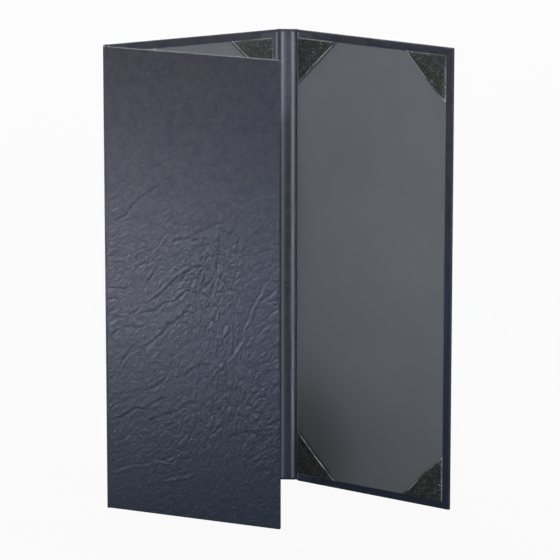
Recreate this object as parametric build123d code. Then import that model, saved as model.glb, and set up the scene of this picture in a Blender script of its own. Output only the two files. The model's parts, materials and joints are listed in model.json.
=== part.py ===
from build123d import *
import os
from math import radians, sqrt, tan

# Driving sizes, in millimetres
board_height = 297.8
middle_board_width = 120.0
wing_setback = 2.0           # how much narrower the two outer boards are
board_thickness = 1.5
spine_card_thickness = 0.5
cover_thickness = 0.35       # leatherette over the outside and round the edges
lining_thickness = 0.35      # leatherette strip inside each spine
edge_rounding = 0.8          # share of a leatherette's thickness rounded at a wrapped edge
liner_thickness = 0.5        # grey sheet that faces each inner side
pocket_thickness = 0.3       # leatherette of a corner pocket
pocket_back_thickness = 0.25  # its skived flaps under the liner's corner

# How far the cover turns in over a board, and the lining laps it
turn_in = 14.0
lining_lap = 12.0
lining_end_margin = 1.5      # lining's ends, in from the head and the foot

# Bare border of cover that shows round a liner
head_margin = 5.2
free_edge_margin = 5.0
wing_spine_margin = 1.0      # board's spine edge to the liner, outer panels

# Flexible joints, each with its hinge line in the outer face of the cover
board_gap = 2.4              # hinge line to the board's edge
card_gap = 0.5               # hinge line to the spine card's edge
closed_gap = 0.3             # left between two folded panels

# Raised ribs of a spine's lining, one along each side of a sunk channel
rib_height = 0.5
left_rib_width = 1.8
right_rib_width = 2.9

# Corner pockets
pocket_leg = 29.0
pocket_slot = 0.2            # room for a menu sheet's corner
hem_width = 5.0
pocket_flap_width = 8.0      # flaps glued under the liner
pad_clearance = 0.3

# The menu stands half open, and each spine shares its fold between two hinges
left_fold_angle = 63.7
right_fold_angle = 31.9

# Sizes that follow
total_height = board_height + 2 * cover_thickness
wing_board_width = middle_board_width - wing_setback
lined_edge = board_gap - lining_thickness
board_face = cover_thickness + board_thickness
frame_face = board_face + cover_thickness
liner_face = frame_face + liner_thickness
hem_face = liner_face + pocket_slot
flap_face = hem_face + pocket_thickness
pocket_face = flap_face + pocket_thickness
web_face = cover_thickness + lining_thickness
card_face = cover_thickness + spine_card_thickness
spine_face = card_face + lining_thickness

middle_pitch = middle_board_width + 2 * board_gap
wing_length = board_gap + wing_board_width + cover_thickness
left_spine_pitch = 2 * pocket_face + closed_gap
right_spine_pitch = left_spine_pitch + closed_gap + pocket_face

liner_width = wing_length - board_gap - wing_spine_margin - free_edge_margin
liner_low = head_margin
liner_high = total_height - head_margin
lining_low = lining_end_margin
lining_high = total_height - lining_end_margin

# Hinge lines along the menu when it lies open flat, the middle panel starting at 0
left_inner_hinge = 0.0
left_outer_hinge = -left_spine_pitch
right_inner_hinge = middle_pitch
right_outer_hinge = middle_pitch + right_spine_pitch


def slab(x0, x1, z0, z1, depth0, depth1):
    """Block between two distances along, two heights and two depths in from the outer face."""
    size = Box(x1 - x0, depth1 - depth0, z1 - z0)
    return Pos((x0 + x1) / 2, -(depth0 + depth1) / 2, (z0 + z1) / 2) * size


def prism(points, depth0, depth1):
    """Plate with the given outline in (along, height), between two depths."""
    outline = Plane.XZ.offset(depth0) * Polygon(*points, align=None)
    return extrude(outline, amount=depth1 - depth0, dir=(0, -1, 0))


def column(outline, z0, z1):
    """Bar with the given outline in plan, between two heights."""
    return extrude(Plane.XY.offset(z0) * outline, amount=z1 - z0, dir=(0, 0, 1))


# A panel is described by its two board edges and by which of them has a spine

class Panel:
    def __init__(self, name, board_start, board_end, spine_sides):
        self.name = name
        self.board_start = board_start
        self.board_end = board_end
        self.spine_sides = spine_sides

    def cover_end(self, side):
        """Outermost reach of the cover: over the lining's leg, or round a free edge."""
        edge = self.board_start if side < 0 else self.board_end
        reach = lining_thickness if side in self.spine_sides else cover_thickness
        return edge + side * reach

    def liner_edges(self):
        """Liner's two edges: centred between two spines, else set in from the spine side."""
        if len(self.spine_sides) == 2:
            centre = (self.board_start + self.board_end) / 2
            return centre - liner_width / 2, centre + liner_width / 2
        if self.spine_sides == (-1,):
            start = self.board_start + wing_spine_margin
            return start, start + liner_width
        end = self.board_end - wing_spine_margin
        return end - liner_width, end

    def lap_end(self, side):
        """How far in the cover's turn-in, or the lining's lap, reaches over the board."""
        edge = self.board_start if side < 0 else self.board_end
        reach = lining_lap if side in self.spine_sides else turn_in
        return edge - side * reach


def board(panel):
    return slab(panel.board_start, panel.board_end, cover_thickness,
                total_height - cover_thickness, cover_thickness, board_face)


def lining_edge(panel, side):
    """Spine lining where it laps the board: a leg down the board's edge and a lap on its face."""
    edge = panel.board_start if side < 0 else panel.board_end
    outer = edge + side * lining_thickness
    inner = panel.lap_end(side)
    leg = slab(min(edge, outer), max(edge, outer), lining_low, lining_high,
               cover_thickness, frame_face)
    lap = slab(min(edge, inner), max(edge, inner), lining_low, lining_high,
               board_face, frame_face)
    whole = leg + lap
    rounded = whole.edges().filter_by(Axis.Z).group_by(Axis.Y)[0].sort_by(Axis.X)
    return fillet(rounded[-1] if side > 0 else rounded[0], lining_thickness * edge_rounding)


def cover(panel):
    """Cover leatherette: outer face, three or two wrapped edges and their turn-ins."""
    start = panel.cover_end(-1)
    end = panel.cover_end(1)
    whole = slab(start, end, 0, total_height, 0, frame_face)
    outer_edges = whole.edges().group_by(Axis.Y)[-1]
    wrapped = outer_edges.filter_by(Axis.X)
    for side in {-1, 1}.difference(panel.spine_sides):
        wrapped += outer_edges.filter_by(Axis.Z).group_by(Axis.X)[side if side < 0 else 0]
    whole = fillet(wrapped, cover_thickness * edge_rounding)
    window = slab(panel.lap_end(-1), panel.lap_end(1), cover_thickness + turn_in,
                  total_height - cover_thickness - turn_in, board_face, frame_face)
    whole = whole - board(panel) - window
    for side in panel.spine_sides:
        edge = panel.board_start if side < 0 else panel.board_end
        outer = edge + side * lining_thickness
        inner = panel.lap_end(side)
        seat = slab(min(outer, inner), max(outer, inner), lining_low, lining_high,
                    board_face, frame_face)
        channel = slab(min(edge, outer), max(edge, outer), lining_low, lining_high,
                       cover_thickness, frame_face)
        whole = whole - seat - channel
    return whole


def corner_points(panel, x_side, z_side, points):
    """Turns (along, up) distances from a liner's corner into places on the panel."""
    start, end = panel.liner_edges()
    corner_x = start if x_side < 0 else end
    corner_z = liner_low if z_side < 0 else liner_high
    return [(corner_x - x_side * u, corner_z - z_side * v) for u, v in points]


def flap_outline(wrap):
    """Two glued flaps of a pocket that meet in the corner and end on its slanted edge."""
    return [(-wrap, -wrap), (pocket_leg + wrap, -wrap),
            (pocket_leg - pocket_flap_width, pocket_flap_width),
            (pocket_flap_width, pocket_flap_width),
            (pocket_flap_width, pocket_leg - pocket_flap_width),
            (-wrap, pocket_leg + wrap)]


def liner(panel):
    """Grey facing sheet: flat in front, thicker behind where it drops between the turn-ins."""
    start, end = panel.liner_edges()
    sheet = slab(start, end, liner_low, liner_high, frame_face, liner_face)
    pad = slab(panel.lap_end(-1) + pad_clearance, panel.lap_end(1) - pad_clearance,
               cover_thickness + turn_in + pad_clearance,
               total_height - cover_thickness - turn_in - pad_clearance, board_face, frame_face)
    whole = sheet + pad
    for x_side in (-1, 1):
        for z_side in (-1, 1):
            relief = corner_points(panel, x_side, z_side, flap_outline(0.0))
            whole = whole - prism(relief, frame_face, frame_face + pocket_back_thickness)
    return whole


def pocket(panel, x_side, z_side):
    """Corner pocket: a triangle over the liner's corner, hemmed on the slant, wrapped to the back."""
    wrap = pocket_thickness

    def place(points):
        return corner_points(panel, x_side, z_side, points)

    reach = pocket_leg + wrap
    front = prism(place([(-wrap, -wrap), (reach, -wrap), (-wrap, reach)]), flap_face, pocket_face)
    inset = pocket_leg - hem_width * sqrt(2)
    hem = prism(place([(pocket_leg, 0), (0, pocket_leg), (0, inset), (inset, 0)]),
                hem_face, flap_face)
    low_wall = prism(place([(-wrap, -wrap), (reach, -wrap), (pocket_leg, 0), (-wrap, 0)]),
                     frame_face, flap_face)
    side_wall = prism(place([(-wrap, -wrap), (0, -wrap), (0, pocket_leg), (-wrap, reach)]),
                      frame_face, flap_face)
    back = prism(place(flap_outline(wrap)), frame_face, frame_face + pocket_back_thickness)
    return front + hem + low_wall + side_wall + back


def spine_card(start, end):
    return slab(start + card_gap, end - card_gap, cover_thickness,
                total_height - cover_thickness, cover_thickness, card_face)


def spine_cover(start, end):
    """Cover over the spine card, wrapped over its head and foot."""
    whole = slab(start + card_gap, end - card_gap, 0, total_height, 0, spine_face)
    seat = slab(start + card_gap, end - card_gap, lining_low, lining_high,
                card_face, spine_face)
    return whole - spine_card(start, end) - seat


def spine_lining(start, end, rib_width):
    """Lining over the spine card, with a rounded rib along each side."""
    low = start + card_gap
    high = end - card_gap
    base = slab(low, high, lining_low, lining_high, card_face, spine_face)
    for near, far in ((low, low + rib_width), (high - rib_width, high)):
        crown = ThreePointArc((near, -spine_face), ((near + far) / 2, -spine_face - rib_height),
                              (far, -spine_face))
        foot = Line((far, -spine_face), (near, -spine_face))
        rib = make_face([crown, foot])
        base = base + column(rib, lining_low, lining_high)
    return base


def hinge_web(side, fold):
    """Cover and lining pasted together in a joint, creased on the hinge line at the origin.

    The board lies towards -X for side 1 and towards +X for side -1, and the spine card
    lies the other way, folded inwards by the given angle.
    """

    def card_point(distance, depth):
        point = Vector(side * distance, -depth).rotate(Axis.Z, -side * fold)
        return point.X, point.Y

    crease = web_face * tan(radians(fold / 2))
    outline = Polygon((-side * lined_edge, 0), (0, 0), card_point(card_gap, 0),
                      card_point(card_gap, web_face), (-side * crease, -web_face),
                      (-side * lined_edge, -web_face), align=None)
    return column(outline, 0, total_height)


def swing(shape, hinge, angle):
    """Turns a shape about the vertical hinge line at the given distance along."""
    return Pos(hinge, 0, 0) * Rot(0, 0, angle) * Pos(-hinge, 0, 0) * shape


def fold_left_spine(shape):
    return swing(shape, left_inner_hinge, left_fold_angle)


def fold_left_panel(shape):
    return fold_left_spine(swing(shape, left_outer_hinge, left_fold_angle))


def fold_right_spine(shape):
    return swing(shape, right_inner_hinge, -right_fold_angle)


def fold_right_panel(shape):
    return fold_right_spine(swing(shape, right_outer_hinge, -right_fold_angle))


def stay(shape):
    return shape


def panel_nodes(panel):
    """Every piece of one panel, by node name."""
    nodes = {
        f"{panel.name}_board": board(panel),
        f"{panel.name}_cover": cover(panel),
        f"{panel.name}_liner": liner(panel),
    }
    for side in panel.spine_sides:
        side_name = "left" if side < 0 else "right"
        nodes[f"{panel.name}_lining_{side_name}_edge"] = lining_edge(panel, side)
    for z_side, height_name in ((1, "top"), (-1, "bottom")):
        for x_side, side_name in ((-1, "left"), (1, "right")):
            nodes[f"{panel.name}_pocket_{height_name}_{side_name}"] = pocket(panel, x_side, z_side)
    return nodes


def spine_nodes(name, start, end, rib_width):
    """The three layers of one spine, between its two hinge lines."""
    return {
        f"{name}_spine_card": spine_card(start, end),
        f"{name}_spine_cover": spine_cover(start, end),
        f"{name}_spine_lining": spine_lining(start, end, rib_width),
    }


def web_nodes():
    """The four flexible joints, each drawn from the panel that it holds."""
    return {
        "left_web_outer": fold_left_panel(Pos(left_outer_hinge, 0, 0)
                                          * hinge_web(1, left_fold_angle)),
        "left_web_inner": Pos(left_inner_hinge, 0, 0) * hinge_web(-1, left_fold_angle),
        "right_web_inner": Pos(right_inner_hinge, 0, 0) * hinge_web(1, right_fold_angle),
        "right_web_outer": fold_right_panel(Pos(right_outer_hinge, 0, 0)
                                            * hinge_web(-1, right_fold_angle)),
    }


def folded_nodes():
    """All pieces in the standing pose, by node name."""
    left_end = left_outer_hinge - board_gap
    right_start = right_outer_hinge + board_gap
    left = Panel("left", left_end - wing_board_width, left_end, (1,))
    middle = Panel("middle", board_gap, board_gap + middle_board_width, (-1, 1))
    right = Panel("right", right_start, right_start + wing_board_width, (-1,))
    groups = (
        (panel_nodes(left), fold_left_panel),
        (spine_nodes("left", left_outer_hinge, left_inner_hinge, left_rib_width), fold_left_spine),
        (panel_nodes(middle), stay),
        (spine_nodes("right", right_inner_hinge, right_outer_hinge, right_rib_width),
         fold_right_spine),
        (panel_nodes(right), fold_right_panel),
    )
    nodes = web_nodes()
    for group, fold in groups:
        for name, shape in group.items():
            nodes[name] = fold(shape)
    return nodes


def hinge_lines():
    """Where each hinge line stands in the standing pose, by joint name."""
    return {
        "left_inner": Vertex(left_inner_hinge, 0, 0),
        "left_outer": fold_left_spine(Vertex(left_outer_hinge, 0, 0)),
        "right_inner": Vertex(right_inner_hinge, 0, 0),
        "right_outer": fold_right_spine(Vertex(right_outer_hinge, 0, 0)),
    }


def standing_centre(nodes):
    """Middle of the whole menu in plan, which becomes the origin."""
    boxes = [shape.bounding_box() for shape in nodes.values()]
    low_x = min(box.min.X for box in boxes)
    high_x = max(box.max.X for box in boxes)
    low_y = min(box.min.Y for box in boxes)
    high_y = max(box.max.Y for box in boxes)
    return Pos(-(low_x + high_x) / 2, -(low_y + high_y) / 2, 0)


os.makedirs("parts", exist_ok=True)
nodes = folded_nodes()
to_origin = standing_centre(nodes)
for name, shape in nodes.items():
    export_step(to_origin * shape, f"parts/{name}.step")
for name, line in hinge_lines().items():
    placed = (to_origin * line).center()
    print(f"hinge line {name}: {placed.X:.4f}, {placed.Y:.4f}")
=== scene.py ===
import json

import bmesh
import bpy
import numpy as np
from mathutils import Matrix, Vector

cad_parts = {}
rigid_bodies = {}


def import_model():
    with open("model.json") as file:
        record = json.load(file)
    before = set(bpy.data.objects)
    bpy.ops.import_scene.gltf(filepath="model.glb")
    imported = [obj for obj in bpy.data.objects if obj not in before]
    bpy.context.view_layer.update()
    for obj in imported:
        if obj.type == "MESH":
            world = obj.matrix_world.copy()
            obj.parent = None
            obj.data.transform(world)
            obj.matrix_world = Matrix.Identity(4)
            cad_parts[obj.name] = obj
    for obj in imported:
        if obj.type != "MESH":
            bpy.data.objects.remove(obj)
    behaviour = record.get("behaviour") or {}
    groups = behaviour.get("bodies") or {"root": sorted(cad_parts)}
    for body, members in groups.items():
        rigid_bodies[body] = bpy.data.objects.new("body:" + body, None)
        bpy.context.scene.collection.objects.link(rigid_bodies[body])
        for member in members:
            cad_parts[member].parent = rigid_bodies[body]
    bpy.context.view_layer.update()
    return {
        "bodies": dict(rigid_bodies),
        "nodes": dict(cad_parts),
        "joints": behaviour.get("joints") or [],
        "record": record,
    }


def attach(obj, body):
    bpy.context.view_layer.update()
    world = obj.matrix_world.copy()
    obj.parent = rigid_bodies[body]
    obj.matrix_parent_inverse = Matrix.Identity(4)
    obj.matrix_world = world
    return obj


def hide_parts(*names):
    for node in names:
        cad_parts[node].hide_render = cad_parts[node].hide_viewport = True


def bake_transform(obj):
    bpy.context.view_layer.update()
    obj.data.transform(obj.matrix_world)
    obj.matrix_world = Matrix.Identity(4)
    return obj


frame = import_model()
print("frame loaded:", len(frame["nodes"]), "nodes")

# The menu's sizes in millimetres, as its construction has them
menu = {
    "height": 298.5,
    "middleWidth": 120.0,  # boards
    "wingWidth": 118.0,
    "skin": 0.35,  # leatherette of the cover and of the lining
    "boardDepth": 1.85,  # a board's inner face, in from the cover's outside
    "frameDepth": 2.2,  # the border round a liner
    "cardDepth": 0.85,
    "spineDepth": 1.2,
    "webDepth": 0.7,
    "linerDepth": 2.7,
    "boardGap": 2.4,  # hinge line to board
    "cardGap": 0.5,  # hinge line to spine card
    "lapReach": 12.2,  # lining's lap over the board
    "liningMargin": 1.5,  # lining's ends, in from head and foot
    "headMargin": 5.2,
    "freeMargin": 5.0,
    "wingMargin": 1.0,
    "pocketLeg": 29.0,
}

joints = {joint["name"]: joint for joint in frame["joints"]}


def jointOf(name):
    # hinge in plan in millimetres, and how far the joint is folded now: its lower limit is the
    # menu open flat
    joint = joints[name]
    return np.array(joint["pos_m"][:2]) * 1000, np.radians(-joint["range_deg"][0])


(leftInner, leftFold), (leftOuter, _) = jointOf("left_spine_fold"), jointOf("left_panel_fold")
(rightInner, rightFold), (rightOuter, _) = jointOf("right_spine_fold"), jointOf("right_panel_fold")
leftPitch = np.linalg.norm(leftOuter - leftInner)
middlePitch = np.linalg.norm(rightInner - leftInner)
rightPitch = np.linalg.norm(rightOuter - rightInner)

# Each leaf: its hinge line in plan, the same line's distance along the open menu, and its turn
leaves = {
    "middle_panel": (leftInner, 0.0, 0.0),
    "left_spine": (leftInner, 0.0, leftFold),
    "left_panel": (leftOuter, -leftPitch, 2 * leftFold),
    "right_spine": (rightInner, middlePitch, -rightFold),
    "right_panel": (rightOuter, middlePitch + rightPitch, -2 * rightFold),
}


def turned(hinge, along, angle, flat):
    # place = hinge + rotation(angle) * (x - along, -depth), and the height stays
    x, depth = flat[..., 0] - along, -flat[..., 1]
    c, s = np.cos(angle), np.sin(angle)
    return np.stack([hinge[0] + x * c - depth * s, hinge[1] + x * s + depth * c, flat[..., 2]], -1)


def standing(leaf, flat):
    return turned(*leaves[leaf], flat)


# Value noise and creases, all as whole arrays

latticeSize = 128
lattice = np.random.RandomState(11).rand(latticeSize, latticeSize)


def softNoise(x, y):
    # bilinear blend of four lattice values with the weight t^3 (6t^2 - 15t + 10), from 0 to 1
    ix, iy = np.floor(x).astype(int), np.floor(y).astype(int)
    tx, ty = (t ** 3 * (t * (6 * t - 15) + 10) for t in (x - ix, y - iy))
    ix, iy, nextX, nextY = (i % latticeSize for i in (ix, iy, ix + 1, iy + 1))
    a, b, c, d = lattice[ix, iy], lattice[nextX, iy], lattice[ix, nextY], lattice[nextX, nextY]
    return (a + (b - a) * tx) * (1 - ty) + (c + (d - c) * tx) * ty


def ease(value, low, high):
    # smoothstep from 0 at low to 1 at high
    t = np.clip((value - low) / (high - low), 0, 1)
    return t * t * (3 - 2 * t)


creases = {
    "cut": 2.3,  # multiplies the depths of the long creases
    "wide": 0.62,
    "lip": 0.30,
    "meshDepth": 0.17,
    "swell": 0.11,
    "most": 0.34,  # bound on all heights
    "lift": 0.06,
    # wavering of all creases: its length, how far, and offsets in the noise
    "waver": ((7, 2.4, 0, 40), (2.1, 0.9, 9, 70)),
    "footFade": (10, 70),  # up the cover
    "headFade": (175, 225),
    "patch": (21, 27),
}
# Long creases of the left cover: depth, where a minus makes a raised fold, and places as
# (from the hinge, up), all in millimetres
longCreases = [
    (0.20, [(4, 188), (9, 190), (14, 193.5), (20, 200), (26, 206), (34, 212), (42, 217),
            (49, 220)]),
    (0.18, [(38, 172), (46, 177.5), (52, 180), (60, 182.5), (66, 186.5), (72, 190), (79, 193)]),
    (0.12, [(59, 180), (67, 183), (75, 181.5)]),
    (0.30, [(0, 144.5), (8, 145.5), (13, 145.5), (19, 148)]),
    (0.20, [(27, 148), (33, 155), (37, 161), (39, 165)]),
    (0.30, [(28, 137), (34, 141), (41, 146), (46, 151), (50, 155.5), (56, 160),
            (63, 163.5), (72, 166)]),
    (0.28, [(24, 130), (30, 132.5), (36, 135), (42, 138), (50, 142), (56, 146), (62, 150)]),
    (0.14, [(14, 127), (20, 131), (26, 137)]),
    (0.26, [(29, 108), (34, 113.5), (39, 118.5), (43, 123), (49, 129), (56, 133), (66, 136)]),
    (0.13, [(1, 112), (9, 117), (18, 121), (25, 122)]),
    (0.12, [(0, 121), (6, 124.5), (13, 127)]),
    (-0.55, [(84, 103), (88, 107), (92, 111.5), (96, 118), (98, 127), (101, 133), (103, 140),
             (107, 146), (110, 152), (112, 157), (117, 165), (121, 172)]),
    (-0.20, [(90, 106), (92, 116), (91, 128), (94, 135)]),
    (0.18, [(75.5, 160), (76.5, 166), (77.5, 172), (79.5, 180), (81, 188)]),
    (0.14, [(70, 148), (76, 151), (82, 154.5), (90, 156)]),
    (0.12, [(72, 150), (72.5, 157), (71, 163)]),
    (0.16, [(21, 160), (23.5, 166), (23.5, 172), (22, 180)]),
    (0.40, [(70, 84), (73, 89), (76, 93), (79, 97), (82.5, 101.5), (87, 107)]),
    (-0.14, [(73.5, 70), (72.5, 78), (71, 85)]),
    (0.26, [(0, 55.5), (6, 58.5), (12, 62.5), (18, 65.5), (26, 69), (32, 73), (40, 76),
            (46, 77)]),
    (0.24, [(28, 60), (36, 62.5), (42, 66.5), (50, 70.5), (58, 75), (67, 77)]),
    (-0.13, [(39, 64), (41, 55), (50, 50)]),
    (0.18, [(26, 79), (35, 84), (40, 88.5), (44, 94)]),
    (0.18, [(50, 89), (56, 93), (61, 98), (68, 101.5), (76, 103)]),
    (0.14, [(11, 98), (15, 103.5), (19, 109)]),
    (-0.20, [(0, 22), (8, 25), (18, 29), (28, 31.5), (38, 33.5), (49, 33.5)]),
    (-0.14, [(38, 21), (50, 25), (57, 26.5), (63, 31)]),
    (-0.14, [(72, 40), (73.5, 49), (77, 52)]),
    (0.14, [(82, 55), (88, 58), (98, 60.5), (110, 62.5), (121, 66)]),
    (-0.10, [(91, 8), (91.5, 15), (93, 22)]),
    (-0.10, [(21, 10), (22, 20), (24, 25)]),
    (0.12, [(12, 224), (14.5, 235), (20, 242)]),
    (0.12, [(28, 220), (33, 223.5), (41, 228), (47, 231)]),
    (-0.14, [(91, 201), (98, 205), (103, 209), (111, 212), (121, 213)]),
    (0.10, [(96, 175), (104, 176.5), (113, 180), (121, 182)]),
]
# Fine creases: turn in degrees, lengths along and across, width, where they fade in and out
# between the hinge and the free edge, and their share of the depth
fineCreases = [
    (30, 26, 6.5, 0.85, (-40, -20, 50, 80), 0.6),
    (44, 12, 5.5, 0.85, (-40, -20, 55, 85), 0.5),
    (82, 18, 5.0, 1.05, (40, 60, 80, 100), 0.65),
    (58, 11, 5.0, 0.95, (34, 54, 84, 110), 0.6),
    (62, 22, 6.0, 1.00, (76, 94, 140, 160), 0.8),
    (20, 12, 5.5, 0.95, (74, 92, 140, 160), 0.6),
]


def quarterArc(near, radius):
    # from 0 at an edge to 1 at the radius, sqrt(1 - (1 - near/radius)^2)
    return np.sqrt(1 - np.clip(1 - near / radius, 0, 1) ** 2)


def lineHeight(u, z, depth, points):
    # valley -exp(-(d/w)^2) with a lip +exp(-((d-1.7w)/1.4w)^2) on its upper side, by the signed
    # distance d to a broken line, fading towards the line's ends
    points = np.array(points, float)
    wide = creases["wide"]
    span = np.linalg.norm(np.diff(points, axis=0), axis=1)
    start = np.concatenate([[0], np.cumsum(span)])
    best, side, share = np.full(u.shape, 1e9), np.zeros(u.shape), np.zeros(u.shape)
    for a, b, length, run in zip(points[:-1], points[1:], span, start):
        along = (b - a) / length
        du, dz = u - a[0], z - a[1]
        t = np.clip(du * along[0] + dz * along[1], 0, length)
        off = np.hypot(du - t * along[0], dz - t * along[1])
        near = off < best
        best = np.where(near, off, best)
        side = np.where(near, np.sign(dz * along[0] - du * along[1]), side)
        share = np.where(near, (run + t) / start[-1], share)
    taper = min(0.25, 7.0 / start[-1])
    fade = ease(share, -0.02, taper) * ease(1 - share, -0.02, taper)
    d = best * side
    lip = creases["lip"] * np.exp(-((d - 1.7 * wide) / (1.4 * wide)) ** 2)
    return depth * fade * (lip - np.exp(-(d / wide) ** 2))


def creaseHeight(u, z, shift=0.0, flip=False):
    # long creases; fine ones -exp(-(d/w)^2) along the line where a turned, stretched noise n
    # passes 1/2, d = (n - 1/2)/|slope of n| away; soft swells between them; all bounded by a tanh,
    # so that no valley reaches the board. Also returns how rumpled the skin is, 0 to 1
    if flip:
        u, z = menu["wingWidth"] - u, menu["height"] - z
    wavered = [u, z]
    for length, most, asideU, asideZ in creases["waver"]:
        for axis, place in enumerate([(u / length + asideU + shift, z / length),
                                      (u / length, z / length + asideZ + shift)]):
            wavered[axis] = wavered[axis] + most * (softNoise(*place) - 0.5)
    u, z = wavered
    height = np.zeros(u.shape)
    for depth, points in longCreases:
        height += creases["cut"] * lineHeight(u, z, depth, points)
    broad, tall = creases["patch"]
    patch = 0.45 + 1.1 * softNoise(u / broad + 3 + shift, z / tall + 5)
    strength = 0.45 + 0.55 * ease(z, *creases["footFade"])
    strength = strength * (1 - 0.75 * ease(z, *creases["headFade"])) * patch
    step = 0.02
    for number, (turn, along, across, thin, reach, share) in enumerate(fineCreases):
        turn = np.radians(turn)
        a = (u * np.cos(turn) + z * np.sin(turn)) / along
        b = (z * np.cos(turn) - u * np.sin(turn)) / across
        here = strength * ease(u, *reach[:2]) * (1 - ease(u, *reach[2:]))
        first, second = 17 * number + shift, 31 * number
        n = softNoise(a + first, b + second)
        alongSlope = (softNoise(a + first + step, b + second) - n) / (step * along)
        acrossSlope = (softNoise(a + first, b + second + step) - n) / (step * across)
        slope = np.hypot(alongSlope, acrossSlope)
        line = np.exp(-((n - 0.5) / (thin * np.maximum(slope, 1e-4))) ** 2)
        height -= creases["meshDepth"] * share * here * line * ease(slope * across, 0.15, 0.6)
        height += creases["swell"] * share * here * (softNoise(a * 1.3 + 60, b * 0.7 + shift) - 0.5)
    height = creases["lift"] + creases["most"] * np.tanh(height / creases["most"])
    return height, strength * (0.5 + 0.8 * ease(u, 10, 70))


# Meshes: grids and flat outlines gathered into one closed piece

mergeDistance = 2e-6  # metres


def addObject(name, data, place=(0, 0, 0), ahead=None):
    # a linked object; a lamp or the camera looks ahead
    thing = bpy.data.objects.new(name, data)
    bpy.context.scene.collection.objects.link(thing)
    thing.location = place
    if ahead:
        thing.rotation_mode = "QUATERNION"
        thing.rotation_quaternion = ahead.to_track_quat("-Z", "Y")
    return thing


class Gather:
    # points of the flat layout, two numbers that each carries for the material, and faces
    def __init__(self):
        self.flat, self.crease, self.rumple, self.faces, self.count = [], [], [], [], 0

    def add(self, flat, crease=None, rumple=None):
        flat = np.asarray(flat, float)
        first = self.count
        self.flat.append(flat.reshape(-1, 3))
        size = len(self.flat[-1])
        self.crease.append(np.zeros(size) if crease is None else np.asarray(crease).ravel())
        self.rumple.append(np.zeros(size) if rumple is None else np.asarray(rumple).ravel())
        self.count += size
        return np.arange(first, self.count).reshape(flat.shape[:-1])

    def grid(self, flat, crease=None, rumple=None, closed=False):
        # quads between neighbouring rows and columns; closed joins the last row to the first
        ids = self.add(flat, crease, rumple)
        if closed:
            ids = np.concatenate([ids, ids[:1]])
        quads = np.stack([ids[:-1, :-1], ids[1:, :-1], ids[1:, 1:], ids[:-1, 1:]], -1)
        self.faces += quads.reshape(-1, 4).tolist()

    def outline(self, points):
        self.faces.append(self.add(points).tolist())


def makePiece(name, gathered, leaf, finish, replaced, turning=None, sharp=50):
    # flat layout to standing place, doubles merged, normals outwards; patterns use the flat one
    flat, crease = np.concatenate(gathered.flat), np.concatenate(gathered.crease)
    placed = turning(flat) if turning else standing(leaf, flat)
    pattern = flat.copy()
    pattern[:, 1] += crease  # the pattern lies on the smooth sheet
    mesh = bpy.data.meshes.new(name)
    mesh.from_pydata((placed / 1000).tolist(), [], gathered.faces)
    mesh.attributes.new("sheet", "FLOAT_VECTOR", "POINT").data.foreach_set(
        "vector", pattern.astype(np.float32).ravel())
    for key, values in (("crease", crease), ("rumple", np.concatenate(gathered.rumple))):
        mesh.attributes.new(key, "FLOAT", "POINT").data.foreach_set(
            "value", values.astype(np.float32))
    cleaner = bmesh.new()
    cleaner.from_mesh(mesh)
    bmesh.ops.remove_doubles(cleaner, verts=cleaner.verts, dist=mergeDistance)
    bmesh.ops.recalc_face_normals(cleaner, faces=cleaner.faces)
    openEdges = sum(1 for edge in cleaner.edges if not edge.is_manifold)
    cleaner.to_mesh(mesh)
    cleaner.free()
    mesh.shade_smooth()
    mesh.set_sharp_from_angle(angle=np.radians(sharp))
    mesh.materials.append(finish)
    piece = addObject(name, mesh)
    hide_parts(*replaced)
    if not turning:
        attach(piece, leaf)
    print(f"{name}: {len(mesh.polygons)} faces, {openEdges} open edges")
    return piece


# Materials: one class wraps a socket, and maths on it adds the nodes

class Wire:
    def __init__(self, tree, socket):
        self.tree, self.socket = tree, socket

    def __abs__(self):
        return node(self.tree, "Math", {"operation": "ABSOLUTE"}, {0: self})


def overload(name, operation):
    # an operator and its reflected form, each adding one Math node
    settings = {"operation": operation}
    setattr(Wire, f"__{name}__", lambda a, b: node(a.tree, "Math", settings, {0: a, 1: b}))
    setattr(Wire, f"__r{name}__", lambda a, b: node(a.tree, "Math", settings, {0: b, 1: a}))


for name, operation in (("add", "ADD"), ("sub", "SUBTRACT"), ("mul", "MULTIPLY"), ("pow", "POWER")):
    overload(name, operation)


def node(tree, kind, settings, sockets, output=0):
    # adds a shader node, sets its settings, then fills its sockets with values or links
    made = tree.nodes.new("ShaderNode" + kind)
    for name, value in settings.items():
        setattr(made, name, value)
    for name, value in sockets.items():
        if isinstance(value, Wire):
            tree.links.new(value.socket, made.inputs[name])
        elif isinstance(value, tuple) and len(value) == 3 and made.inputs[name].type == "RGBA":
            made.inputs[name].default_value = (*value, 1)
        else:
            made.inputs[name].default_value = value
    return Wire(tree, made.outputs[output]) if len(made.outputs) else None


def stepped(wire, low, high):
    # smoothstep from 0 at low to 1 at high
    return node(wire.tree, "MapRange", {"interpolation_type": "SMOOTHSTEP"},
                {"Value": wire, "From Min": low, "From Max": high})


def blended(factor, first, second):
    # colour from first at 0 to second at 1
    return node(factor.tree, "Mix", {"data_type": "RGBA"},
                {0: factor, 6: first, 7: second}, 2)


def stretched(vector, lengths, turn=0.0):
    # pattern coordinates turned about the depth axis, then divided by lengths along it
    return node(vector.tree, "Mapping", {"vector_type": "TEXTURE"},
                {"Vector": vector, "Rotation": (0.0, turn, 0.0), "Scale": lengths})


def noise(vector, scale, detail=2.0, rough=0.5, output=0):
    return node(vector.tree, "TexNoise", {"noise_dimensions": "3D"},
                {"Vector": vector, "Scale": scale, "Detail": detail, "Roughness": rough}, output)


def cells(vector, scale, feature="F1"):
    return node(vector.tree, "TexVoronoi", {"feature": feature},
                {"Vector": vector, "Scale": scale})


def along(vector, axis):
    return node(vector.tree, "SeparateXYZ", {}, {"Vector": vector}, axis)


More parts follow.
